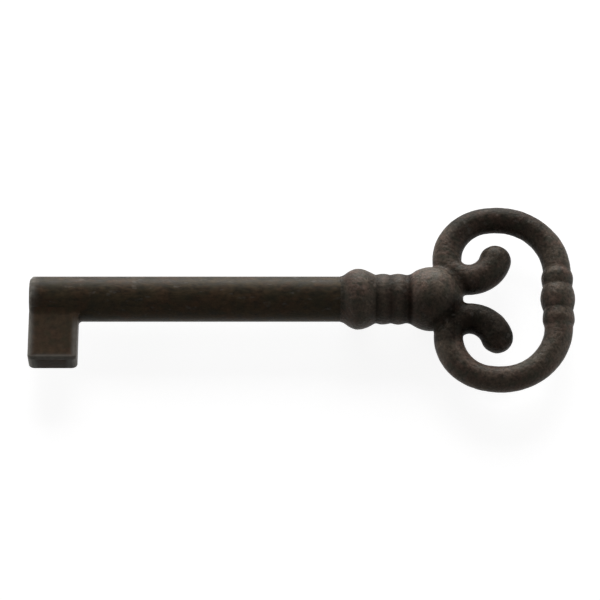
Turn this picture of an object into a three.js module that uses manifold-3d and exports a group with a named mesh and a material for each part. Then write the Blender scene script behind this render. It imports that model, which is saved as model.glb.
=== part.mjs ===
// A furniture key: a bored steel shank, a steel bit let into a slot near its tip, and a cast bow.
// The bow has a collar, a ringed neck, a ball and two loops that scroll inwards, joined by a grip.
// Millimetres, +Z up. The key lies level: X runs from the shank's tip to the grip, and the bit
// points to -Y. The origin is under the middle of the key, at the height of its lowest point.

import * as THREE from "three";
import { mergeVertices } from "three/addons/utils/BufferGeometryUtils.js";
import Module from "manifold-3d";

const wasm = await Module();
wasm.setup();

// Shank: a round steel bar, bored at the tip for the lock's pin, with a thinner spigot in the bow
const shankDiameter = 6.0;
const shankLength = 41.05;
const tipChamfer = 0.35;
const boreDiameter = 3.4;
const boreChamfer = 0.25;
const boreDepth = 20;
const drillPointLength = 1.0;
const spigotDiameter = 4.2;
const spigotLength = 10.4;
const anchorGrooveCount = 3;
const anchorGroovePitch = 3.0;
const anchorGrooveWidth = 1.2;
const anchorGrooveDepth = 0.4;
const firstAnchorGroove = 2.2;

// Bit: a flat steel blade that sits astride the shank, with a thinner tenon in a slot at its tip
const bitWidth = 6.45;
const bitReach = 9.45;
const bitThickness = 3.4;
const bitEdgeThickness = 2.7;
const bitBevelLength = 0.35;
const bitCornerRadius = 0.6;
const tenonThickness = 1.8;
const slotFloorRadius = 2.25;
const slotClearance = 0.05;

// Collar and neck: a full bead that starts flush with the shank, then small rings
const collarLength = 4.7;
const collarDiameter = 8.1;
const neckDiameter = 6.45;
const neckRingDiameter = 6.75;
const neckRingPitch = 2.0;
const neckRingCount = 2;
const socketClearance = 0.1;

// Ball between the neck and the loops
const ballDiameter = 8.52;
const neckToBallCentre = 3.36;

// Loops: each starts where its bar touches the ball, rises over a crown to the grip on one side
// and turns back in a scroll on the other. Radii are those of the bar's centre line.
const rootAngle = 68.8;
const rootSink = 0.15;
const shoulderRadius = 6.0;
const crownRadius = 10.6;
const outerRadius = 7.85;
const shoulderToCrownAngle = 100.8;
const crownToOuterAngle = 92.3;
const turnRadius = 2.79;
const armRadius = 3.77;
const armAngle = 74;
const rootBarDiameter = 3.88;
const crownBarDiameter = 3.44;
const gripBarDiameter = 3.76;
const armBarDiameter = 4.06;
const scrollEndDiameter = 4.26;

// Grip: a large bead with a smaller one on each side
const gripBeadDiameter = 4.62;
const gripBeadLength = 3.5;
const sideBeadDiameter = 4.24;
const sideBeadLength = 2.6;
const gripGrooveDiameter = 3.98;

// Fineness of the round surfaces
const latheSides = 28;
const barSides = 12;
const barSteps = 60;
const beadSteps = 6;
const ballRows = 14;
const cornerSteps = 5;

const { degToRad, lerp } = THREE.MathUtils;

const collarStart = shankLength;
const neckStart = collarStart + collarLength;
const neckEnd = neckStart + neckRingCount * neckRingPitch;
const ballX = neckEnd + neckToBallCentre;
const ballRadius = ballDiameter / 2;
const spigotEnd = shankLength + spigotLength;

// Turns a closed three.js geometry into a solid that can be joined and cut.
function solidFrom(geometry) {
  const bare = geometry.clone();
  bare.deleteAttribute("normal");
  bare.deleteAttribute("uv");
  const merged = mergeVertices(bare, 1e-4);
  const corners = merged.index.array;
  const triangles = [];
  for (let i = 0; i < corners.length; i += 3) {
    const [a, b, c] = [corners[i], corners[i + 1], corners[i + 2]];
    if (a !== b && b !== c && c !== a) {
      triangles.push(a, b, c);
    }
  }
  const vertProperties = new Float32Array(merged.attributes.position.array);
  const triVerts = new Uint32Array(triangles);
  return new wasm.Manifold(new wasm.Mesh({ numProp: 3, vertProperties, triVerts }));
}

function geometryFrom(solid) {
  const mesh = solid.getMesh();
  const geometry = new THREE.BufferGeometry();
  geometry.setAttribute("position", new THREE.BufferAttribute(new Float32Array(mesh.vertProperties), 3));
  geometry.setIndex(new THREE.BufferAttribute(new Uint32Array(mesh.triVerts), 1));
  geometry.computeVertexNormals();
  return geometry;
}

// A body turned about the key's axis. The profile is a list of [place along X, radius] pairs.
function turnedAboutX(profile) {
  const points = profile.map(([along, radius]) => new THREE.Vector2(radius, along));
  return new THREE.LatheGeometry(points, latheSides).rotateZ(-Math.PI / 2);
}

// Points over a rounded bead, up from one diameter and down to another, without the last point.
function beadProfile(start, length, startDiameter, peakDiameter, endDiameter) {
  const points = [];
  for (let i = 0; i < beadSteps; i += 1) {
    const share = i / beadSteps;
    const rise = Math.sin(Math.PI * share);
    const foot = share < 0.5 ? startDiameter : endDiameter;
    points.push([start + length * share, lerp(foot, peakDiameter, rise) / 2]);
  }
  return points;
}

// The spigot's outline from the shank's shoulder to its hidden end. A gap makes the socket that
// the casting leaves round it, with its ridges inside the spigot's grooves.
function spigotProfile(gap) {
  const radius = spigotDiameter / 2 + gap;
  const halfWidth = anchorGrooveWidth / 2 - gap;
  const points = [[shankLength - gap, radius]];
  for (let i = 0; i < anchorGrooveCount; i += 1) {
    const middle = shankLength + firstAnchorGroove + i * anchorGroovePitch;
    points.push([middle - halfWidth, radius]);
    points.push([middle - halfWidth, radius - anchorGrooveDepth]);
    points.push([middle + halfWidth, radius - anchorGrooveDepth]);
    points.push([middle + halfWidth, radius]);
  }
  points.push([spigotEnd + gap, radius]);
  return points;
}

function shankGeometry() {
  const radius = shankDiameter / 2;
  const boreRadius = boreDiameter / 2;
  const bar = turnedAboutX([
    [boreDepth + drillPointLength, 0],
    [boreDepth, boreRadius],
    [boreChamfer, boreRadius],
    [0, boreRadius + boreChamfer],
    [0, radius - tipChamfer],
    [tipChamfer, radius],
    [shankLength, radius],
    ...spigotProfile(0),
    [spigotEnd, 0],
  ]);
  const slotLength = bitWidth + slotClearance;
  const slotDepth = radius;
  const slot = new THREE.BoxGeometry(2 * slotLength, slotDepth, tenonThickness + 2 * slotClearance);
  slot.translate(0, -slotFloorRadius - slotDepth / 2, 0);
  return geometryFrom(solidFrom(bar).subtract(solidFrom(slot)));
}

// The blade seen from its flat side, with its two free corners rounded.
function bitOutline() {
  const outline = new THREE.Shape();
  const corner = bitCornerRadius;
  const top = -slotFloorRadius;
  outline.moveTo(0, top);
  outline.lineTo(0, -bitReach + corner);
  outline.absarc(corner, -bitReach + corner, corner, Math.PI, 1.5 * Math.PI, false);
  outline.absarc(bitWidth - corner, -bitReach + corner, corner, 1.5 * Math.PI, 2 * Math.PI, false);
  outline.lineTo(bitWidth, top);
  return outline;
}

// The blade seen from its end: parallel faces, then a bevel to a thinner edge.
function bitSection() {
  const section = new THREE.Shape();
  const bevelStart = -bitReach + bitBevelLength;
  section.moveTo(0, -bitThickness / 2);
  section.lineTo(0, bitThickness / 2);
  section.lineTo(bevelStart, bitThickness / 2);
  section.lineTo(-bitReach, bitEdgeThickness / 2);
  section.lineTo(-bitReach, -bitEdgeThickness / 2);
  section.lineTo(bevelStart, -bitThickness / 2);
  return section;
}

function bitGeometry() {
  const plain = { bevelEnabled: false, curveSegments: cornerSteps };
  const side = new THREE.ExtrudeGeometry(bitOutline(), { ...plain, depth: 2 * bitThickness });
  side.translate(0, 0, -bitThickness);
  const end = new THREE.ExtrudeGeometry(bitSection(), { ...plain, depth: 3 * bitWidth });
  end.translate(0, 0, -bitWidth);
  const lengthwise = new THREE.Matrix4().makeBasis(
    new THREE.Vector3(0, 1, 0),
    new THREE.Vector3(0, 0, 1),
    new THREE.Vector3(1, 0, 0),
  );
  end.applyMatrix4(lengthwise);
  const saddleRadius = shankDiameter / 2 + slotClearance;
  const saddle = turnedAboutX([
    [-bitWidth, 0],
    [-bitWidth, saddleRadius],
    [2 * bitWidth, saddleRadius],
    [2 * bitWidth, 0],
  ]);
  const tenonTop = -slotFloorRadius - slotClearance;
  const tenonFoot = -saddleRadius - bitThickness / 4;
  const tenon = new THREE.BoxGeometry(bitWidth, tenonTop - tenonFoot, tenonThickness);
  tenon.translate(bitWidth / 2, (tenonTop + tenonFoot) / 2, 0);
  const blade = solidFrom(side).intersect(solidFrom(end)).subtract(solidFrom(saddle));
  return geometryFrom(blade.add(solidFrom(tenon)));
}

// The place of the upper loop's root, where its bar sinks a little into the ball.
function rootPlace() {
  const distance = ballRadius + rootBarDiameter / 2 - rootSink;
  const angle = degToRad(rootAngle);
  return new THREE.Vector2(ballX + distance * Math.cos(angle), distance * Math.sin(angle));
}

// The centre of an arc that carries on smoothly from another one at the given angle.
function nextCentre(centre, radius, nextRadius, degrees) {
  const shift = radius - nextRadius;
  const angle = degToRad(degrees);
  return new THREE.Vector2(centre.x + shift * Math.cos(angle), centre.y + shift * Math.sin(angle));
}

// The arc centres of the upper loop, in their order from the scroll's end to the grip.
function loopCentres() {
  const root = rootPlace();
  const turn = new THREE.Vector2(root.x + turnRadius, root.y);
  const arm = new THREE.Vector2(turn.x, turn.y - turnRadius + armRadius);
  const shoulder = new THREE.Vector2(root.x + shoulderRadius, root.y);
  const crown = nextCentre(shoulder, shoulderRadius, crownRadius, shoulderToCrownAngle);
  const outer = nextCentre(crown, crownRadius, outerRadius, crownToOuterAngle);
  return { arm, turn, shoulder, crown, outer };
}

const loop = loopCentres();
const gripX = loop.outer.x + outerRadius;
const keyLength = gripX + gripBeadDiameter / 2;

// The upper bar's centre line, from the scroll's end to just past the middle of the grip.
function loopLine() {
  const line = new THREE.Path();
  const addArc = (centre, radius, from, to) => {
    line.absarc(centre.x, centre.y, radius, degToRad(from), degToRad(to), true);
  };
  addArc(loop.arm, armRadius, 270 + armAngle, 270);
  addArc(loop.turn, turnRadius, 270, 180);
  addArc(loop.shoulder, shoulderRadius, 180, shoulderToCrownAngle);
  addArc(loop.crown, crownRadius, shoulderToCrownAngle, crownToOuterAngle);
  addArc(loop.outer, outerRadius, crownToOuterAngle, 0);
  line.lineTo(gripX, -gripBeadLength / 4);
  return line;
}

// The bar's radius at each joint of its centre line, with the share of its length there.
function loopStations(line) {
  const joints = line.getCurveLengths();
  const whole = joints[joints.length - 1];
  const ends = joints.filter((length, i) => i === 0 || length - joints[i - 1] > 1e-6);
  const diameters = [armBarDiameter, rootBarDiameter, crownBarDiameter, crownBarDiameter,
    gripBarDiameter, gripBarDiameter];
  const stations = [{ share: 0, radius: scrollEndDiameter / 2 }];
  ends.forEach((length, i) => {
    stations.push({ share: length / whole, radius: diameters[i] / 2 });
  });
  return stations;
}

function radiusAlong(stations, share) {
  for (let i = 1; i < stations.length; i += 1) {
    const [before, after] = [stations[i - 1], stations[i]];
    if (share <= after.share) {
      const ease = THREE.MathUtils.smoothstep(share, before.share, after.share);
      return lerp(before.radius, after.radius, ease);
    }
  }
  return stations[stations.length - 1].radius;
}

// A round bar along a flat line: a ring of points at each step, and a fan over each end.
function sweptBar(line, stations) {
  const positions = [];
  const indices = [];
  for (let i = 0; i <= barSteps; i += 1) {
    const share = i / barSteps;
    const middle = line.getPointAt(share);
    const along = line.getTangentAt(share);
    const radius = radiusAlong(stations, share);
    for (let j = 0; j < barSides; j += 1) {
      const turn = 2 * Math.PI * j / barSides;
      const side = radius * Math.cos(turn);
      positions.push(middle.x + side * along.y, middle.y - side * along.x, radius * Math.sin(turn));
    }
  }
  for (let i = 0; i < barSteps; i += 1) {
    for (let j = 0; j < barSides; j += 1) {
      const a = i * barSides + j;
      const b = i * barSides + (j + 1) % barSides;
      indices.push(a, a + barSides, b);
      indices.push(b, a + barSides, b + barSides);
    }
  }
  const last = barSteps * barSides;
  for (let j = 1; j < barSides - 1; j += 1) {
    indices.push(0, j, j + 1);
    indices.push(last, last + j + 1, last + j);
  }
  const geometry = new THREE.BufferGeometry();
  geometry.setAttribute("position", new THREE.Float32BufferAttribute(positions, 3));
  geometry.setIndex(indices);
  return geometry;
}

// Collar bead, neck rings and a plain end that reaches into the ball.
function collarGeometry() {
  const profile = [[collarStart, 0]];
  profile.push(...beadProfile(collarStart, collarLength, shankDiameter, collarDiameter, neckDiameter));
  for (let i = 0; i < neckRingCount; i += 1) {
    const start = neckStart + i * neckRingPitch;
    profile.push(...beadProfile(start, neckRingPitch, neckDiameter, neckRingDiameter, neckDiameter));
  }
  profile.push([neckEnd, neckDiameter / 2]);
  profile.push([ballX, neckDiameter / 2]);
  profile.push([ballX, 0]);
  return turnedAboutX(profile);
}

// The three beads of the grip, turned about the grip's own axis.
function gripGeometry() {
  const inner = gripBeadLength / 2;
  const half = inner + sideBeadLength;
  const groove = gripGrooveDiameter;
  const profile = [[-half, 0]];
  profile.push(...beadProfile(-half, sideBeadLength, groove, sideBeadDiameter, groove));
  profile.push(...beadProfile(-inner, gripBeadLength, groove, gripBeadDiameter, groove));
  profile.push(...beadProfile(inner, sideBeadLength, groove, sideBeadDiameter, groove));
  profile.push([half, groove / 2]);
  profile.push([half, 0]);
  const points = profile.map(([along, radius]) => new THREE.Vector2(radius, along));
  return new THREE.LatheGeometry(points, latheSides).translate(gripX, 0, 0);
}

function socketGeometry() {
  const profile = spigotProfile(socketClearance);
  const mouth = [collarStart - collarLength, spigotDiameter / 2 + socketClearance];
  return turnedAboutX([[mouth[0], 0], mouth, ...profile, [spigotEnd + socketClearance, 0]]);
}

function bowGeometry() {
  const line = loopLine();
  const bar = solidFrom(sweptBar(line, loopStations(line)));
  const end = line.getPointAt(0);
  const knob = new THREE.SphereGeometry(scrollEndDiameter / 2, barSides, barSides / 2);
  knob.rotateX(Math.PI / 2).translate(end.x, end.y, 0);
  const upper = bar.add(solidFrom(knob));
  const lower = upper.rotate([180, 0, 0]);
  const ball = new THREE.SphereGeometry(ballRadius, latheSides, ballRows);
  ball.rotateZ(Math.PI / 2).translate(ballX, 0, 0);
  const whole = solidFrom(collarGeometry())
    .add(solidFrom(ball))
    .add(upper)
    .add(lower)
    .add(solidFrom(gripGeometry()));
  return geometryFrom(whole.subtract(solidFrom(socketGeometry())));
}

const steel = new THREE.MeshStandardMaterial({ color: 0x4a443e, roughness: 0.42, metalness: 0.9 });
const castMetal = new THREE.MeshStandardMaterial({ color: 0x463d35, roughness: 0.55, metalness: 0.85 });

function piece(name, geometry, material) {
  const mesh = new THREE.Mesh(geometry, material);
  mesh.name = name;
  return mesh;
}

const key = new THREE.Group();
key.add(piece("shank", shankGeometry(), steel));
key.add(piece("bit", bitGeometry(), steel));
key.add(piece("bow", bowGeometry(), castMetal));
key.position.set(-keyLength / 2, 0, Math.max(ballDiameter, collarDiameter) / 2);

export default key;
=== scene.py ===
"""A furniture key lying level on a white table: bored shank, bit, and a cast bow of scrolled loops.

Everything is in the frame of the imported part: X runs from the shank's tip to the grip, the bit
points to -Y and +Z is up. The key's sizes and the camera's are written in millimetres times MM,
and the table's and the lamps' in metres.
"""

import math

import bpy
import numpy as np
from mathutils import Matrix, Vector


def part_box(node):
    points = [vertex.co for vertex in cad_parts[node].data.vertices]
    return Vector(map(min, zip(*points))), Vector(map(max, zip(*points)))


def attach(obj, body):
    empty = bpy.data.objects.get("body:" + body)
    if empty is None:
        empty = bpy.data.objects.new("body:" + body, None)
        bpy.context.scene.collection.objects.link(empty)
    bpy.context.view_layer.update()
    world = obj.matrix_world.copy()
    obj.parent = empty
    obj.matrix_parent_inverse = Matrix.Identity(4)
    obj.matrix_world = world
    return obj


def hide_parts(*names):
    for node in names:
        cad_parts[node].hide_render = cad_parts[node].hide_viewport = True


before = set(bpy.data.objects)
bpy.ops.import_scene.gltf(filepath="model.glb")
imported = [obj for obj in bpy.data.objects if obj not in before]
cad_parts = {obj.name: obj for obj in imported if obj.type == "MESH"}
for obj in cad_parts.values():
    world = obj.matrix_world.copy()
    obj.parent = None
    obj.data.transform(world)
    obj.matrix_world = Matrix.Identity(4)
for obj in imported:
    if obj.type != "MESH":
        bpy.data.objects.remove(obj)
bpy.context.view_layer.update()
scene = bpy.context.scene


# Camera
# The photograph looks at the bow from 26 degrees off its face, on the side of the bit, from about
# half a metre away, and with the key nearly in the middle.

MM = 0.001
VIEW_TILT = math.radians(26)
CAMERA_DISTANCE = 460 * MM
VIEW_WIDTH = 79.5 * MM
TIP_TO_MIDDLE = 35.74 * MM
AXIS_ABOVE_MIDDLE = 0.11 * MM
SENSOR_WIDTH = 36.0

shank_low, shank_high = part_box("shank")
tip_x = shank_low.x
axis_height = (shank_low.z + shank_high.z) / 2
towards_camera = Vector((0, -math.sin(VIEW_TILT), math.cos(VIEW_TILT)))
camera_up = Vector((0, math.cos(VIEW_TILT), math.sin(VIEW_TILT)))
view_middle = Vector((tip_x + TIP_TO_MIDDLE, 0, axis_height)) - AXIS_ABOVE_MIDDLE * camera_up
camera_data = bpy.data.cameras.new("camera")
camera_data.sensor_width = SENSOR_WIDTH
camera_data.lens = SENSOR_WIDTH * CAMERA_DISTANCE / VIEW_WIDTH
camera_data.clip_start = 0.01
camera_data.clip_end = 20
camera = bpy.data.objects.new("camera", camera_data)
scene.collection.objects.link(camera)
camera.location = view_middle + CAMERA_DISTANCE * towards_camera
camera.rotation_euler = (VIEW_TILT, 0, 0)
scene.camera = camera
scene.view_settings.view_transform = "Standard"


# Table, room and lamps
# A white table without an edge in view, in a white room. A bright strip stands low behind the key
# with a tall soft lamp over it, and a weaker lamp stands at each end of the key.

TABLE_WIDTH = 4.0
TABLE_GREY = 0.35
TABLE_GLOW = 0.9
ROOM_SEEN = 1.0
ROOM_LIGHT = 0.01


def white_when_seen(tree, seen, otherwise):
    """A strength that is `seen` for camera, glossy and transmission rays.

    For the rays that carry light to other things it is `otherwise`.
    """
    path = tree.nodes.new("ShaderNodeLightPath")
    rays = path.outputs["Is Camera Ray"]
    for other in ("Is Glossy Ray", "Is Transmission Ray"):
        either = tree.nodes.new("ShaderNodeMath")
        either.operation = "MAXIMUM"
        tree.links.new(rays, either.inputs[0])
        tree.links.new(path.outputs[other], either.inputs[1])
        rays = either.outputs[0]
    strength = tree.nodes.new("ShaderNodeMath")
    strength.operation = "MULTIPLY_ADD"
    strength.inputs[1].default_value = seen - otherwise
    strength.inputs[2].default_value = otherwise
    tree.links.new(rays, strength.inputs[0])
    return strength.outputs[0]


edge = TABLE_WIDTH / 2
table_mesh = bpy.data.meshes.new("table_top")
table_corners = [(-edge, -edge, 0), (edge, -edge, 0), (edge, edge, 0), (-edge, edge, 0)]
table_mesh.from_pydata(table_corners, [], [(0, 1, 2, 3)])
table = bpy.data.objects.new("table_top", table_mesh)
scene.collection.objects.link(table)

table_paint = bpy.data.materials.new("white_table")
table_paint.use_nodes = True
table_tree = table_paint.node_tree
table_tree.nodes.clear()
paint_out = table_tree.nodes.new("ShaderNodeOutputMaterial")
matt = table_tree.nodes.new("ShaderNodeBsdfDiffuse")
matt.inputs["Color"].default_value = (TABLE_GREY, TABLE_GREY, TABLE_GREY, 1)
glow = table_tree.nodes.new("ShaderNodeEmission")
table_tree.links.new(white_when_seen(table_tree, TABLE_GLOW, 0), glow.inputs["Strength"])
lit_and_glowing = table_tree.nodes.new("ShaderNodeAddShader")
table_tree.links.new(matt.outputs[0], lit_and_glowing.inputs[0])
table_tree.links.new(glow.outputs[0], lit_and_glowing.inputs[1])
table_tree.links.new(lit_and_glowing.outputs[0], paint_out.inputs["Surface"])
table.data.materials.append(table_paint)

room = bpy.data.worlds.new("room")
room.use_nodes = True
room_wall = room.node_tree.nodes["Background"]
room_wall.inputs["Color"].default_value = (1, 1, 1, 1)
room_strength = white_when_seen(room.node_tree, ROOM_SEEN, ROOM_LIGHT)
room.node_tree.links.new(room_strength, room_wall.inputs["Strength"])
scene.world = room


def soft_lamp(name, place, width, height, power):
    """An area lamp that shines at the origin and isn't seen itself."""
    data = bpy.data.lights.new(name, "AREA")
    data.shape = "RECTANGLE"
    data.size = width
    data.size_y = height
    data.energy = power
    lamp = bpy.data.objects.new(name, data)
    scene.collection.objects.link(lamp)
    lamp.location = place
    lamp.rotation_euler = (-Vector(place)).to_track_quat("-Z", "Y").to_euler()
    lamp.visible_camera = False


soft_lamp("far_strip", (0, 0.447, 0.047), 0.35, 0.08, 1.0)
soft_lamp("far_lamp", (0, 0.407, 0.192), 0.35, 0.31, 1.8)
soft_lamp("right_lamp", (0.435, 0, 0.116), 0.35, 0.2, 0.52)
soft_lamp("left_lamp", (-0.435, 0, 0.116), 0.35, 0.2, 0.48)


# Shank
# A browned steel bar, 6 mm thick, turned and bored at its tip for the lock's pin. Its hidden end
# is a thinner spigot, which the bow is cast round.

SHANK_RADIUS = (shank_high.z - shank_low.z) / 2
SHANK_LENGTH = 41.05 * MM
TIP_CHAMFER = 0.4 * MM
BORE_RADIUS = 1.7 * MM
BORE_DEPTH = 20.0 * MM
BORE_CHAMFER = 0.25 * MM
DRILL_POINT = 1.0 * MM
SPIGOT_RADIUS = 2.1 * MM
SPIGOT_LENGTH = 10.4 * MM
UNDER_COLLAR = 0.25 * MM
CORNER = 0.06 * MM
SHANK_SIDES = 128
TIP_WEAR = 0.7 * MM
# Worn steel colour, also used for painted highlights on the bit's edges.
WORN_AND_HIGHLIGHT_STEEL = (0.25, 0.235, 0.21)
CLOUD_SCALE = 300
PATCH_SCALE = 800
CHIP_SCALE = 1100
WARM_GLINT = (1, 0.92, 0.77, 1)
# Tint and gloss for patina in the bow's hollows, also used for painted shade on the bit's end face.
PATINA_AND_SHADE_TINT = (0.35, 0.27, 0.25)
OPEN_GLOSS = 0.11
PATINA_AND_SHADE_GLOSS = 0.02

axis_start = np.array([tip_x, 0, axis_height])


def mesh_object(name, points, faces):
    """A smoothly shaded mesh at the origin, from an array of places and a list of faces."""
    mesh = bpy.data.meshes.new(name)
    mesh.from_pydata(np.asarray(points).tolist(), [], faces)
    mesh.polygons.foreach_set("use_smooth", np.ones(len(mesh.polygons), bool))
    made = bpy.data.objects.new(name, mesh)
    scene.collection.objects.link(made)
    return made


def ring_faces(rings, sides):
    """Quads between neighbouring rings of a surface, each ring a closed row of `sides` places."""
    ring, side = np.meshgrid(np.arange(rings - 1), np.arange(sides), indexing="ij")
    here = ring * sides + side
    beside = ring * sides + (side + 1) % sides
    return np.stack([here, beside, beside + sides, here + sides], -1).reshape(-1, 4).tolist()


def turned(name, profile, sides):
    """A closed body turned about the key's axis, from a profile of [along, radius] rows.

    A place on ring i at angle a is (along i, radius i times cos a, radius i times sin a). The first
    and the last row lie on the axis and are one point each.
    """
    profile = np.asarray(profile, float)
    angle = np.linspace(0, 2 * math.pi, sides, endpoint=False)
    inner = profile[1:-1]
    along = np.repeat(inner[:, 0], sides)
    across = np.outer(inner[:, 1], np.cos(angle)).ravel()
    rise = np.outer(inner[:, 1], np.sin(angle)).ravel()
    poles = [[profile[0, 0], 0, 0], [profile[-1, 0], 0, 0]]
    points = np.concatenate([np.stack([along, across, rise], 1), poles])
    first_pole = len(points) - 2
    last_pole = len(points) - 1
    last_ring = (len(inner) - 1) * sides
    faces = ring_faces(len(inner), sides)
    for side in range(sides):
        beside = (side + 1) % sides
        faces.append([first_pole, beside, side])
        faces.append([last_ring + side, last_ring + beside, last_pole])
    return mesh_object(name, points + axis_start, faces)


def bent(corner, before, after, size):
    """Three profile rows that round a corner towards the rows before and after it.

    The middle row lies 0.3 of both steps in from the corner, which is close to a circle.
    """
    corner, before, after = (np.asarray(p, float) for p in (corner, before, after))
    back = (before - corner) / np.linalg.norm(before - corner) * size
    on = (after - corner) / np.linalg.norm(after - corner) * size
    return [corner + back, corner + 0.3 * (back + on), corner + on]


def straight(start, end, steps):
    """Evenly spaced profile rows strictly between two rows."""
    share = np.linspace(0, 1, steps + 2)[1:-1, None]
    return list(np.asarray(start) * (1 - share) + np.asarray(end) * share)


def rounded_profile(corners, size):
    """A profile whose first and last rows stay, with every corner between them rounded.

    A stretch longer than ten corners gets rows between, about eight corners apart.
    """
    rows = [np.asarray(corners[0], float)]
    for i in range(1, len(corners) - 1):
        rows += bent(corners[i], corners[i - 1], corners[i + 1], size)
        length = np.linalg.norm(np.subtract(corners[i + 1], corners[i]))
        if length > 10 * size:
            rows += straight(rows[-1], corners[i + 1], int(length / (8 * size)))[:-1]
    rows.append(np.asarray(corners[-1], float))
    return rows


def mesh_points(piece):
    """A piece's vertex places as one array."""
    flat = np.empty(len(piece.data.vertices) * 3, np.float32)
    piece.data.vertices.foreach_get("co", flat)
    return flat.reshape(-1, 3).astype(float)


def worn_band(away, width, power):
    """Wear that is 1 at a line and fades away from it, more suddenly the higher the power."""
    return np.exp(-(np.abs(away) / width) ** power)


def give_value(piece, name, values):
    """Writes one number per vertex, which the piece's material reads by name."""
    layer = piece.data.attributes.new(name, "FLOAT", "POINT")
    layer.data.foreach_set("value", np.asarray(values, np.float32))


def browned_metal(
    name, brown, reddish, olive, worn_and_highlight, contrast, grain_size, grain_depth, streak, specks
):
    """A browned metal skin. Noise sizes are given as cells to the metre.

    Noise mixes reddish clouds and olive patches into the brown. The patches and a fine grain, both
    drawn out along the key by `streak`, change its tone, and the grain also changes roughness and
    bump. A vertex value for hollows makes them dark and dull with patina, and on the bit's end face
    it is painted shade. Where the value for rubbing is over zero the metal is lighter and glossier,
    and below zero darker and duller; on the bow it also carries painted light and painted shade.
    The value for wear shows the lighter metal, broken up by chips, and on the bit's edges it is
    also a painted highlight. `specks` is how much of it the largest chips show everywhere.
    """
    paint = bpy.data.materials.new(name)
    paint.use_nodes = True
    tree = paint.node_tree
    skin = tree.nodes["Principled BSDF"]
    skin.inputs["Specular Tint"].default_value = WARM_GLINT
    place = tree.nodes.new("ShaderNodeTexCoord").outputs["Object"]
    along_key = tree.nodes.new("ShaderNodeMapping")
    along_key.inputs["Scale"].default_value = (1 / streak, 1, 1)
    tree.links.new(place, along_key.inputs["Vector"])

    def noise(vector, scale, detail):
        node = tree.nodes.new("ShaderNodeTexNoise")
        node.inputs["Scale"].default_value = scale
        node.inputs["Detail"].default_value = detail
        tree.links.new(vector, node.inputs["Vector"])
        return node.outputs["Fac"]

    def spread(value, low, high, to_low=0.0, to_high=1.0):
        node = tree.nodes.new("ShaderNodeMapRange")
        node.inputs["From Min"].default_value = low
        node.inputs["From Max"].default_value = high
        node.inputs["To Min"].default_value = to_low
        node.inputs["To Max"].default_value = to_high
        tree.links.new(value, node.inputs["Value"])
        return node.outputs["Result"]

    def joined(how, value, other):
        node = tree.nodes.new("ShaderNodeMath")
        node.operation = how
        tree.links.new(value, node.inputs[0])
        tree.links.new(other, node.inputs[1])
        return node.outputs[0]

    def scaled(colour, value):
        node = tree.nodes.new("ShaderNodeVectorMath")
        node.operation = "SCALE"
        tree.links.new(colour, node.inputs[0])
        tree.links.new(value, node.inputs["Scale"])
        return node.outputs[0]

    def blended(share, under, over, how="MIX"):
        node = tree.nodes.new("ShaderNodeMix")
        node.data_type = "RGBA"
        node.blend_type = how
        tree.links.new(share, node.inputs["Factor"])
        for socket, colour in zip(node.inputs[6:8], (under, over)):
            if isinstance(colour, tuple):
                socket.default_value = (*colour, 1)
            else:
                tree.links.new(colour, socket)
        return node.outputs[2]

    def vertex_value(value_name):
        node = tree.nodes.new("ShaderNodeAttribute")
        node.attribute_name = value_name
        return node.outputs["Fac"]

    fine = noise(along_key.outputs["Vector"], grain_size, 5)
    patches = noise(along_key.outputs["Vector"], PATCH_SCALE, 3)
    clouds = noise(place, CLOUD_SCALE, 3)
    colour = blended(spread(clouds, 0.45, 0.6), brown, reddish)
    colour = blended(spread(patches, 0.5, 0.65), colour, olive)
    colour = scaled(colour, spread(patches, 0.3, 0.7, 1 + 0.6 * contrast, 1 - 0.6 * contrast))
    colour = scaled(colour, spread(fine, 0.3, 0.7, 1 - contrast, 1 + contrast))
    # This scale carries rubbing, and painted light and shade on the bow.
    rub_and_light_scale = spread(vertex_value("rubbed_and_painted_light"), -1, 1, 0.3, 1.7)
    colour = scaled(colour, rub_and_light_scale)
    # Patina darkens the hollows; on the bit's end face this is painted shade.
    patina_and_shade = vertex_value("patina_and_shade")
    colour = blended(patina_and_shade, colour, PATINA_AND_SHADE_TINT, "MULTIPLY")
    gloss = joined("MULTIPLY", spread(patina_and_shade, 0, 1, OPEN_GLOSS, PATINA_AND_SHADE_GLOSS), rub_and_light_scale)
    tree.links.new(gloss, skin.inputs["Specular IOR Level"])
    chips = noise(along_key.outputs["Vector"], CHIP_SCALE, 2)
    # Wear shows lighter metal; on the bit's edges it is also a painted highlight.
    wear_and_highlight = joined("MULTIPLY", vertex_value("wear_and_highlight"), spread(chips, 0.35, 0.6, 1.2 - contrast, 1.1))
    wear_and_highlight = joined("MAXIMUM", wear_and_highlight, spread(chips, 0.62, 0.7, 0, specks))
    colour = blended(wear_and_highlight, colour, worn_and_highlight)
    tree.links.new(colour, skin.inputs["Base Color"])
    tree.links.new(spread(fine, 0.3, 0.7, 0.44, 0.56), skin.inputs["Roughness"])
    bump = tree.nodes.new("ShaderNodeBump")
    bump.inputs["Distance"].default_value = grain_depth
    tree.links.new(fine, bump.inputs["Height"])
    tree.links.new(bump.outputs["Normal"], skin.inputs["Normal"])
    return paint


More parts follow.
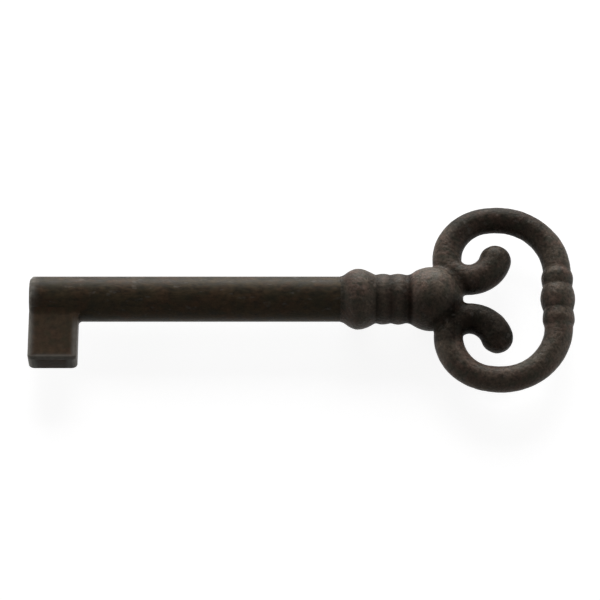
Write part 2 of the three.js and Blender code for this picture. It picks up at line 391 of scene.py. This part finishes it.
shank_profile = rounded_profile(
    [
        [BORE_DEPTH + DRILL_POINT, 0],
        [BORE_DEPTH, BORE_RADIUS],
        [BORE_CHAMFER, BORE_RADIUS],
        [0, BORE_RADIUS + BORE_CHAMFER],
        [0, SHANK_RADIUS - TIP_CHAMFER],
        [TIP_CHAMFER, SHANK_RADIUS],
        [SHANK_LENGTH + UNDER_COLLAR, SHANK_RADIUS],
        [SHANK_LENGTH + UNDER_COLLAR, SPIGOT_RADIUS],
        [SHANK_LENGTH + SPIGOT_LENGTH, SPIGOT_RADIUS],
        [SHANK_LENGTH + SPIGOT_LENGTH, 0],
    ],
    CORNER,
)
shank = turned("browned_shank", shank_profile, SHANK_SIDES)
from_tip = mesh_points(shank)[:, 0] - tip_x
give_value(shank, "wear_and_highlight", worn_band(from_tip, TIP_WEAR, 2))
shank_steel = browned_metal(
    "browned_steel",
    brown=(0.032, 0.0232, 0.0132), reddish=(0.0355, 0.0216, 0.0125), olive=(0.0295, 0.0242, 0.0142),
    worn_and_highlight=WORN_AND_HIGHLIGHT_STEEL, contrast=0.75, grain_size=1900, grain_depth=0.03 * MM, streak=1.8,
    specks=0.2,
)
shank.data.materials.append(shank_steel)
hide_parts("shank")
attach(shank, "root")


# Bit
# A flat steel blade brazed into a slot along the shank's tip. Its faces run into the shank in a
# smooth hollow, its edges are rounded and worn bright, with painted highlights on them, its free
# corners are rounded off, and its end face is painted darker as shade.

BIT_WIDTH = 6.45 * MM
BIT_REACH = 9.45 * MM
BIT_HALF_THICKNESS = 1.7 * MM
BIT_EDGE = 0.42 * MM
BIT_CORNER = 0.65 * MM
FACE_HOLLOW = 1.4 * MM
FACE_HOLLOW_FADE = 1.3 * MM
LEAST_HOLLOW = 0.12
SIDE_HOLLOW = 0.45 * MM
BIT_ROOT = 2.15 * MM
HOLLOW_END = 3.7 * MM
BEHIND_TIP = 0.03 * MM
BEHIND_TIP_REACH = 2.65 * MM
EDGE_STEPS = 9
FLAT_STEPS = 32
TIP_EDGE_WEAR_AND_HIGHLIGHT = 0.5 * MM
INNER_EDGE_WEAR_AND_HIGHLIGHT = 0.65 * MM
INNER_WEAR_AND_HIGHLIGHT_START = 3.2 * MM
END_WEAR_AND_HIGHLIGHT = 0.45 * MM
END_LINE_WEAR_AND_HIGHLIGHT = 0.15 * MM
# How dark the bit's end face is painted, as shade.
END_PAINTED_SHADE = 0.7


def quarter_drop(inside, radius):
    """How far a rounded edge has dropped at a distance inside the edge, on a quarter circle."""
    left = np.clip(1 - inside / radius, 0, 1)
    return radius * (1 - np.sqrt(1 - left ** 2))


def face_height(reach, hollow):
    """The height of the blade's face over its middle plane, at a distance from the key's axis.

    The flat face meets the shank's cylinder in a hollow, an arc that touches both. Nearer to the
    axis than that arc the face dips just under the shank's surface.
    """
    arc_height = BIT_HALF_THICKNESS + hollow
    arc_reach = np.sqrt((SHANK_RADIUS + hollow) ** 2 - arc_height ** 2)
    touch = arc_reach * SHANK_RADIUS / (SHANK_RADIUS + hollow)
    on_arc = arc_height - np.sqrt(np.maximum(hollow ** 2 - (arc_reach - reach) ** 2, 0))
    on_shank = np.sqrt(np.maximum(SHANK_RADIUS ** 2 - reach ** 2, 0)) - 0.5 * (touch - reach)
    height = np.where(reach < arc_reach, on_arc, BIT_HALF_THICKNESS)
    return np.where(reach < touch, on_shank, height)


def blade(name):
    """The bit: rows of places across its two faces, from its root in the shank to its free end.

    Across the blade a row runs over a quarter circle, the flat and another quarter circle. Near
    the free end the row gets shorter on the corners' circles and thinner on the edge's circle.
    Inside the shank the tip's side stands back a little, so that the bore's edge stays clear.
    """
    turn = np.linspace(0, math.pi / 2, EDGE_STEPS)
    flat_share = np.linspace(0, 1, FLAT_STEPS + 2)[1:-1]
    inwards = np.concatenate([1 - np.cos(turn), np.ones(FLAT_STEPS), 1 + np.cos(turn[::-1])])
    share = np.concatenate([np.zeros(EDGE_STEPS), flat_share, np.ones(EDGE_STEPS)])
    drop = np.concatenate([1 - np.sin(turn), np.zeros(FLAT_STEPS), 1 - np.sin(turn[::-1])])
    end_turn = np.linspace(0, math.pi / 2, 12)[1:]
    reach = np.concatenate([
        np.linspace(BIT_ROOT, HOLLOW_END, 38),
        np.linspace(HOLLOW_END + 0.1 * MM, BIT_REACH - BIT_CORNER, 26),
        BIT_REACH - BIT_CORNER * (1 - np.sin(end_turn)),
    ])[:, None]
    from_end = BIT_REACH - reach
    inset = quarter_drop(from_end, BIT_CORNER)
    across = inset + inwards * BIT_EDGE + share * (BIT_WIDTH - 2 * inset - 2 * BIT_EDGE)
    fade = np.clip((BIT_WIDTH - across) / FACE_HOLLOW_FADE, 0, 1)
    hollow = FACE_HOLLOW * np.maximum(fade * fade * (3 - 2 * fade), LEAST_HOLLOW)
    height = face_height(reach, hollow) - quarter_drop(from_end, BIT_EDGE) - drop * BIT_EDGE
    off_shank = np.sqrt(reach ** 2 + height ** 2) - SHANK_RADIUS
    side = np.clip((share - 0.7) / 0.3, 0, 1) ** 2
    across = across + side * quarter_drop(np.maximum(off_shank, 0), SIDE_HOLLOW)
    tucked = np.clip(1 - (reach - BEHIND_TIP_REACH) / (0.1 * MM), 0, 1)
    across = across + (1 - share) * BEHIND_TIP * tucked
    down = np.broadcast_to(-reach, across.shape)
    face = np.stack([across, down, height], -1)
    back = (face * [1, 1, -1])[:, ::-1]
    points = np.concatenate([face, back], 1)
    rows, sides = points.shape[:2]
    faces = [quad[::-1] for quad in ring_faces(rows, sides)]
    for k in range(sides // 2 - 1):
        strip = [k, k + 1, sides - 2 - k, sides - 1 - k]
        faces.append(strip)
        faces.append([(rows - 1) * sides + corner for corner in strip[::-1]])
    made = mesh_object(name, points.reshape(-1, 3) + axis_start, faces)
    on_end = from_end < 0.001 * MM
    # Edges worn bright, also painted lighter as highlights on the rounded edges.
    tip_wear_and_highlight = 1.1 * worn_band(across - inset, TIP_EDGE_WEAR_AND_HIGHLIGHT, 2)
    inner_wear_and_highlight = 0.6 * worn_band(BIT_WIDTH - inset - across, INNER_EDGE_WEAR_AND_HIGHLIGHT, 4)
    inner_wear_and_highlight = inner_wear_and_highlight * np.clip((reach - INNER_WEAR_AND_HIGHLIGHT_START) / (2 * MM), 0, 1)
    end_wear_and_highlight = 0.8 * worn_band(from_end, END_WEAR_AND_HIGHLIGHT, 2) * ~on_end
    end_line_wear_and_highlight = 0.5 * worn_band(from_end - BIT_EDGE, END_LINE_WEAR_AND_HIGHLIGHT, 2)
    wear_and_highlight = np.maximum(np.maximum(tip_wear_and_highlight, inner_wear_and_highlight), np.maximum(end_wear_and_highlight, end_line_wear_and_highlight))
    give_value(made, "wear_and_highlight", np.concatenate([wear_and_highlight, wear_and_highlight[:, ::-1]], 1).ravel())
    # The end face is painted darker, as shade.
    painted_end_shade = np.broadcast_to(END_PAINTED_SHADE * on_end, wear_and_highlight.shape)
    give_value(made, "patina_and_shade", np.concatenate([painted_end_shade, painted_end_shade[:, ::-1]], 1).ravel())
    return made


bit = blade("steel_bit")
bit.data.materials.append(browned_metal(
    "browned_bit",
    brown=(0.042, 0.027, 0.0155), reddish=(0.045, 0.026, 0.0155), olive=(0.038, 0.0285, 0.016),
    worn_and_highlight=WORN_AND_HIGHLIGHT_STEEL, contrast=0.35, grain_size=1500, grain_depth=0.03 * MM, streak=1,
    specks=0.02,
))
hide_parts("bit")
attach(bit, "root")


# Bow
# One casting in a browned finish: a collar bead flush with the shank, two neck rings, a ball, and
# two loops that scroll inwards and meet in a beaded grip. Fillets join all its forms.

COLLAR_LENGTH = 4.7 * MM
COLLAR_RADIUS = 4.05 * MM
COLLAR_HOLLOW = 0.3 * MM
COLLAR_LIP = 0.03 * MM
NECK_RADIUS = 3.2 * MM
NECK_RING_RADIUS = 3.38 * MM
NECK_RING_PITCH = 2.0 * MM
NECK_TO_BALL = 3.36 * MM
GROOVE_SOFTNESS = 0.1 * MM
BALL_RADIUS = 4.26 * MM
ROOT_ANGLE = math.radians(68.8)
ROOT_DISTANCE = 6.05 * MM
SHOULDER_RADIUS = 6.0 * MM
CROWN_RADIUS = 10.6 * MM
OUTER_RADIUS = 7.85 * MM
SHOULDER_ANGLE = math.radians(100.8)
CROWN_ANGLE = math.radians(92.3)
TURN_RADIUS = 2.79 * MM
ARM_RADIUS = 3.77 * MM
ARM_ANGLE = math.radians(74)
SCROLL_END_RADIUS = 2.13 * MM
ARM_BAR_RADIUS = 2.03 * MM
ROOT_BAR_RADIUS = 1.94 * MM
CROWN_BAR_RADIUS = 1.72 * MM
GRIP_BAR_RADIUS = 1.88 * MM
GRIP_GROOVE_RADIUS = 1.96 * MM
GRIP_BEAD_RADIUS = 2.31 * MM
GRIP_BEAD_LENGTH = 3.5 * MM
SIDE_BEAD_RADIUS = 2.13 * MM
SIDE_BEAD_LENGTH = 2.6 * MM
BALL_FILLET = 0.9 * MM
NECK_FILLET = 0.3 * MM
SLIT_FILLET = 0.5 * MM
UNDER_BAR = 0.02 * MM
VOXEL = 0.15 * MM
SLOPE_STEP = 0.02 * MM
SETTLING_ROUNDS = 3
COLLAR_STEPS = 90
PLACES_AT_ONCE = 20000

neck_start = SHANK_LENGTH + COLLAR_LENGTH
neck_end = neck_start + 2 * NECK_RING_PITCH
ball_place = neck_end + NECK_TO_BALL


def towards(angle):
    """The direction at an angle in the bow's plane, with a length of 1."""
    return np.array([math.cos(angle), math.sin(angle)])


def arc(centre, radius, start, end, steps):
    """Places on a circle's arc from one angle to another."""
    angle = np.linspace(start, end, steps)
    return np.stack([centre[0] + radius * np.cos(angle), centre[1] + radius * np.sin(angle)], 1)


def loop_line():
    """The centre line of the upper loop from the scroll's end to the grip's middle.

    It is a chain of arcs, each of which starts in the direction in which the last one ends, then a
    straight stretch to the key's axis. The last number of each stretch is its count of places.
    Returns the places, the bar's radius at each, and the grip's place along the key.
    """
    root = np.array([ball_place, 0]) + ROOT_DISTANCE * towards(ROOT_ANGLE)
    turn = root + [TURN_RADIUS, 0]
    arm = turn + [0, ARM_RADIUS - TURN_RADIUS]
    shoulder = root + [SHOULDER_RADIUS, 0]
    step = SHOULDER_RADIUS - CROWN_RADIUS
    crown = shoulder + step * towards(SHOULDER_ANGLE)
    step = CROWN_RADIUS - OUTER_RADIUS
    outer = crown + step * towards(CROWN_ANGLE)
    down = 1.5 * math.pi
    grip = outer[0] + OUTER_RADIUS
    stretches = [
        arc(arm, ARM_RADIUS, down + ARM_ANGLE, down, 22),
        arc(turn, TURN_RADIUS, down, math.pi, 20)[1:],
        arc(shoulder, SHOULDER_RADIUS, math.pi, SHOULDER_ANGLE, 36)[1:],
        arc(crown, CROWN_RADIUS, SHOULDER_ANGLE, CROWN_ANGLE, 8)[1:],
        arc(outer, OUTER_RADIUS, CROWN_ANGLE, 0, 52)[1:],
        np.linspace([grip, outer[1]], [grip, 0], 17)[1:],
    ]
    radius_at = [SCROLL_END_RADIUS, ARM_BAR_RADIUS, ROOT_BAR_RADIUS, CROWN_BAR_RADIUS,
                 CROWN_BAR_RADIUS, GRIP_BAR_RADIUS, GRIP_BAR_RADIUS]
    radii = []
    for stretch, before, after in zip(stretches, radius_at, radius_at[1:]):
        share = np.linspace(0, 1, len(stretch))
        ease = share * share * (3 - 2 * share)
        radii.append(before * (1 - ease) + after * ease)
    flat = np.concatenate(stretches)
    return np.column_stack([flat, np.zeros(len(flat))]), np.concatenate(radii), grip


upper_line, bar_radius, grip_x = loop_line()
lower_line = upper_line * [1, -1, 1]


def soft_union(a, b, width):
    """The lower of two distances, rounded where they are nearly equal, as a fillet is."""
    share = np.clip(0.5 + 0.5 * (b - a) / width, 0, 1)
    return b * (1 - share) + a * share - width * share * (1 - share)


def bead(place, start, length, foot, peak):
    """The radius over a round bead: it rises from its foot on half a sine wave."""
    share = np.clip((place - start) / length, 0, 1)
    return foot + (peak - foot) * np.sin(math.pi * share)


def sharp_collar(along):
    """The radius of collar and neck at a place along the key, with sharp grooves.

    The collar's left half rises from the shank's radius in a hollow, and its right half falls to
    the neck's groove. Each ring is half a sine wave.
    """
    rise = (along - SHANK_LENGTH - COLLAR_HOLLOW) / (COLLAR_LENGTH / 2 - COLLAR_HOLLOW)
    foot = SHANK_RADIUS + COLLAR_LIP
    rising = foot + (COLLAR_RADIUS - foot) * np.sin(math.pi / 2 * np.minimum(rise, 1))
    rising = -soft_union(-rising, -foot, COLLAR_HOLLOW)
    falling = bead(along, SHANK_LENGTH, COLLAR_LENGTH, NECK_RADIUS, COLLAR_RADIUS)
    out = np.where(rise < 1, rising, falling)
    for start in (neck_start, neck_start + NECK_RING_PITCH):
        ring = bead(along, start, NECK_RING_PITCH, NECK_RADIUS, NECK_RING_RADIUS)
        out = np.where(along > start, ring, out)
    return out


def collar_radius(along):
    """The radius of collar and neck with worn grooves: the mean over a short stretch."""
    shifts = np.linspace(-GROOVE_SOFTNESS, GROOVE_SOFTNESS, 5)
    return np.mean([sharp_collar(along + shift) for shift in shifts], axis=0)


def grip_radius(across):
    """The radius of the grip's middle bead and of the smaller bead on each side of it.

    The outer half of a side bead runs out into the bar on half a cosine wave.
    """
    inner = GRIP_BEAD_LENGTH / 2
    middle = bead(across, -inner, GRIP_BEAD_LENGTH, GRIP_GROOVE_RADIUS, GRIP_BEAD_RADIUS)
    side = bead(np.abs(across), inner, SIDE_BEAD_LENGTH, GRIP_GROOVE_RADIUS, SIDE_BEAD_RADIUS)
    past_peak = np.clip((np.abs(across) - inner) / SIDE_BEAD_LENGTH - 0.5, 0, 0.5)
    lower = GRIP_BAR_RADIUS - UNDER_BAR
    running_out = lower + (SIDE_BEAD_RADIUS - lower) * (0.5 + 0.5 * np.cos(2 * math.pi * past_peak))
    return np.where(np.abs(across) < inner, middle, np.where(past_peak > 0, running_out, side))


def bar_distance(points, line):
    """How far places lie outside a bar: the least way to its line, less the bar's radius there."""
    away = np.empty(len(points))
    line_squared = (line ** 2).sum(1)
    for start in range(0, len(points), PLACES_AT_ONCE):
        some = points[start:start + PLACES_AT_ONCE]
        squared = (some ** 2).sum(1)[:, None] + line_squared - 2 * some @ line.T
        away[start:start + PLACES_AT_ONCE] = (np.sqrt(np.maximum(squared, 0)) - bar_radius).min(1)
    return away


def casting_distance(points):
    """How far places lie outside the casting, below zero inside it.

    Places are measured from the shank's tip, on the key's axis. Collar, ball, both bars and the
    grip each give a distance, and soft unions join them.
    """
    along, across, rise = points.T
    off_axis = np.sqrt(across ** 2 + rise ** 2)
    collar = np.maximum(off_axis - collar_radius(along), along - ball_place)
    ball = np.sqrt((along - ball_place) ** 2 + off_axis ** 2) - BALL_RADIUS
    upper = bar_distance(points, upper_line)
    lower = bar_distance(points, lower_line)
    bars = soft_union(upper, lower, SLIT_FILLET)
    off_grip = np.sqrt((along - grip_x) ** 2 + rise ** 2) - grip_radius(across)
    grip = np.maximum(off_grip, np.abs(across) - GRIP_BEAD_LENGTH / 2 - SIDE_BEAD_LENGTH)
    body = soft_union(collar, ball, NECK_FILLET)
    body = soft_union(body, bars, BALL_FILLET)
    body = np.minimum(body, grip)
    return np.maximum(body, SHANK_LENGTH - along)


def casting_slope(points):
    """How fast the casting's distance grows along X, Y and Z, from a small step either way."""
    slope = np.empty_like(points)
    for k in range(3):
        shift = np.zeros(3)
        shift[k] = SLOPE_STEP
        growth = casting_distance(points + shift) - casting_distance(points - shift)
        slope[:, k] = growth / (2 * SLOPE_STEP)
    return slope


def swept(line, radius, sides):
    """A round bar along a flat line, as points and faces, with a flat face at each end.

    A place at angle a of step i lies radius i times cos a to the line's side, and radius i times
    sin a above it.
    """
    ahead = np.gradient(line, axis=0)
    ahead /= np.linalg.norm(ahead, axis=1)[:, None]
    beside = np.stack([ahead[:, 1], -ahead[:, 0], np.zeros(len(line))], 1)
    angle = np.linspace(0, 2 * math.pi, sides, endpoint=False)
    sideways = np.outer(radius, np.cos(angle))[:, :, None] * beside[:, None, :]
    upwards = np.outer(radius, np.sin(angle))[:, :, None] * np.array([0, 0, 1])
    points = (line[:, None, :] + sideways + upwards).reshape(-1, 3)
    faces = [quad[::-1] for quad in ring_faces(len(line), sides)]
    faces.append(list(range(sides)))
    faces.append(list(range(len(points) - 1, len(points) - sides - 1, -1)))
    return points, faces


def knob(centre, radius, sides):
    """A ball as a bar along X whose radius follows a half circle, with a small flat at each end."""
    flat = 0.1
    angle = np.linspace(flat, math.pi - flat, sides)
    line = np.zeros((sides, 3))
    line[:, 0] = -radius * np.cos(angle)
    return swept(line + centre, radius * np.sin(angle), 2 * sides)


def rough_casting(name):
    """The casting's simple bodies, overlapping in one mesh, from which its skin is drawn."""
    along = np.linspace(SHANK_LENGTH, ball_place, COLLAR_STEPS)
    collar_line = np.column_stack([along, np.zeros((COLLAR_STEPS, 2))])
    whole_line = np.concatenate([upper_line, lower_line[-2::-1]])
    whole_radius = np.concatenate([bar_radius, bar_radius[-2::-1]])
    bodies = [
        swept(collar_line, collar_radius(along), sides=64),
        knob((ball_place, 0, 0), BALL_RADIUS, sides=32),
        swept(whole_line, whole_radius, sides=24),
        knob(upper_line[0], SCROLL_END_RADIUS, sides=20),
        knob(lower_line[0], SCROLL_END_RADIUS, sides=20),
    ]
    points = []
    faces = []
    for body_points, body_faces in bodies:
        first = len(points)
        points += body_points.tolist()
        faces += [[first + corner for corner in face] for face in body_faces]
    return mesh_object(name, points, faces)


def apply_modifiers(piece):
    """Replaces a piece's mesh with the one that its modifiers give."""
    ready = piece.evaluated_get(bpy.context.evaluated_depsgraph_get())
    mesh = bpy.data.meshes.new_from_object(ready)
    piece.modifiers.clear()
    piece.data = mesh


def lattice_noise(points, cell, seed):
    """Smooth noise from -1 to 1: random values on the corners of a grid, eased between them.

    A corner's value is worked out from its three numbers and the seed. Large odd factors scatter
    them, so that neighbouring corners get unlike values.
    """
    low = np.floor(points / cell).astype(np.int64)
    part = points / cell - low
    part = part * part * (3 - 2 * part)
    total = np.zeros(len(points))
    for corner in range(8):
        step = np.array([corner & 1, corner >> 1 & 1, corner >> 2 & 1])
        at = low + step
        mixed = at[:, 0] * 73856093 ^ at[:, 1] * 19349663 ^ at[:, 2] * 83492791 ^ seed * 2654435761
        mixed = (mixed ^ mixed >> 13) * 1274126177 & 0x7FFFFFFF
        value = (mixed ^ mixed >> 16) % 65536 / 32768 - 1
        total += value * np.where(step, part, 1 - part).prod(1)
    return total


def ramp(value, start, end):
    """0 up to a start and 1 from an end on, rising evenly between them."""
    return np.clip((value - start) / (end - start), 0, 1)


# Each row is a step outwards and how strongly it counts, from narrow hollows to wide ones.
HOLLOW_STEPS = ((0.35 * MM, 13), (0.8 * MM, 0.9), (1.8 * MM, 0.6))
BARS_START = 2.4 * MM
SCROLLS_END = 9 * MM


def hollow_value(points, normal):
    """How much each place of the casting lies in a hollow, from 0 to 1.

    A step straight out from open metal adds its full length to the distance, and one out of a
    hollow adds less. The hollows between ball, bars and scrolls count half.
    """
    value = np.zeros(len(points))
    at_surface = casting_distance(points)
    for step, strength in HOLLOW_STEPS:
        loss = 1 - (casting_distance(points + step * normal) - at_surface) / step
        value = np.maximum(value, np.clip(strength * loss - 0.05, 0, 1))
    along = points[:, 0] - ball_place
    at_bars = ramp(along, -BARS_START, MM - BARS_START) * (along < SCROLLS_END)
    return value * (1 - 0.5 * at_bars)


COLLAR_RUB_RADIUS = 3.35 * MM
BALL_RUB_RADIUS = 2.9 * MM
RUB_DEPTH = 0.5 * MM
COLLAR_RUB = 0.6
BALL_RUB = 1.15
# Painted light on the lower loop; painted shade on the upper loop's top and on the side towards the
# bit.
LOWER_LOOP_PAINTED_LIGHT = 0.5
UPPER_LOOP_PAINTED_SHADE = 0.35
BALL_UNDERSIDE_PAINTED_SHADE = 1.2
BARS_UNDERSIDE_PAINTED_SHADE = 0.8
RING_RUB = 0.8
NECK_DULL = 0.6
GRIP_RUB = 0.6
GRIP_GROOVE_DULL = 0.7


def rubbed_and_painted_light_value(points):
    """Rubbing on each place of the casting, with painted light and shade; below 0 it is darker.

    Collar and ball are rubbed where they stand out furthest from the axis, the neck on its rings,
    and the grip all over except in its grooves. The lower loop far from the axis is painted
    lighter, as painted light. The side of the ball and the bars towards the bit, and the upper
    loop's top, are painted darker, as painted shade.
    """
    along, across, rise = points.T
    off_axis = np.hypot(across, rise)
    onto_ball = ramp(along, neck_end, neck_end + 2 * MM)
    start = COLLAR_RUB_RADIUS + (BALL_RUB_RADIUS - COLLAR_RUB_RADIUS) * onto_ball
    value = ramp(off_axis, start, start + RUB_DEPTH)
    value *= np.where(along < neck_start, COLLAR_RUB, BALL_RUB)
    value *= 1 - ramp(along, ball_place + 1.2 * MM, ball_place + 3.2 * MM)
    # Painted light: the lower loop is lighter far from the axis.
    value = np.maximum(value, LOWER_LOOP_PAINTED_LIGHT * ramp(-across, 6 * MM, 7.5 * MM))
    # Painted shade: the upper loop's top is darker.
    value -= UPPER_LOOP_PAINTED_SHADE * ramp(across, 6 * MM, 9 * MM)
    # Painted shade on the ball and the bars, on their side towards the bit.
    painted_underside_shade = ramp(-across, 0, 2 * MM) * (1 - ramp(-across, 6.5 * MM, 7.5 * MM))
    painted_underside_shade *= ramp(along, neck_end, neck_end + MM) * (along < grip_x - 3 * MM)
    on_ball = along < ball_place + 3 * MM
    value -= painted_underside_shade * np.where(on_ball, BALL_UNDERSIDE_PAINTED_SHADE, BARS_UNDERSIDE_PAINTED_SHADE)
    on_neck = (along > neck_start) * (along < neck_end)
    crest = (collar_radius(along) - NECK_RADIUS) / (NECK_RING_RADIUS - NECK_RADIUS)
    value += on_neck * (RING_RUB * crest - NECK_DULL)
    on_grip = ramp(along, grip_x - 2 * MM, grip_x - MM)
    value += on_grip * (GRIP_RUB - value)
    groove = 1 - ramp(grip_radius(across), GRIP_GROOVE_RADIUS, SIDE_BEAD_RADIUS)
    in_beads = np.abs(across) < (GRIP_BEAD_LENGTH + SIDE_BEAD_LENGTH) / 2
    return value - GRIP_GROOVE_DULL * on_grip * groove * in_beads


bow = rough_casting("cast_bow")
skin = bow.modifiers.new("skin", "REMESH")
skin.mode = "VOXEL"
skin.voxel_size = VOXEL
apply_modifiers(bow)
points = mesh_points(bow)
for _ in range(SETTLING_ROUNDS):
    slope = casting_slope(points)
    steepness = np.maximum((slope ** 2).sum(1), 0.1)
    points -= (casting_distance(points) / steepness)[:, None] * slope
bow.data.vertices.foreach_set("co", points.astype(np.float32).ravel())
ease = bow.modifiers.new("ease", "SMOOTH")
ease.factor = 0.5
ease.iterations = 1
apply_modifiers(bow)

points = mesh_points(bow)
slope = casting_slope(points)
normal = slope / np.linalg.norm(slope, axis=1)[:, None]
patina_and_shade = hollow_value(points, normal)
rubbed_and_painted_light = rubbed_and_painted_light_value(points)

# Each row of the cast grain is its size, its depth and its seed.
CAST_GRAIN = ((0.4 * MM, 0.012 * MM, 3), (0.8 * MM, 0.014 * MM, 5), (2.6 * MM, 0.025 * MM, 7))
grain = np.zeros(len(points))
for cell, depth, seed in CAST_GRAIN:
    grain += depth * lattice_noise(points, cell, seed)
grain *= ramp(points[:, 0], SHANK_LENGTH, SHANK_LENGTH + 2 * MM)
points += grain[:, None] * normal + axis_start
bow.data.vertices.foreach_set("co", points.astype(np.float32).ravel())
bow.data.update()
bow.data.polygons.foreach_set("use_smooth", np.ones(len(bow.data.polygons), bool))
give_value(bow, "patina_and_shade", patina_and_shade)
# Rubbing, with painted light and shade.
give_value(bow, "rubbed_and_painted_light", rubbed_and_painted_light)
bow.data.materials.clear()
bow.data.materials.append(browned_metal(
    "browned_casting",
    brown=(0.0415, 0.0315, 0.0235), reddish=(0.0455, 0.03, 0.023), olive=(0.038, 0.033, 0.024),
    worn_and_highlight=(0.2, 0.18, 0.16), contrast=0.7, grain_size=2300, grain_depth=0.1 * MM, streak=1,
    specks=0.2,
))
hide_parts("bow")
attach(bow, "root")
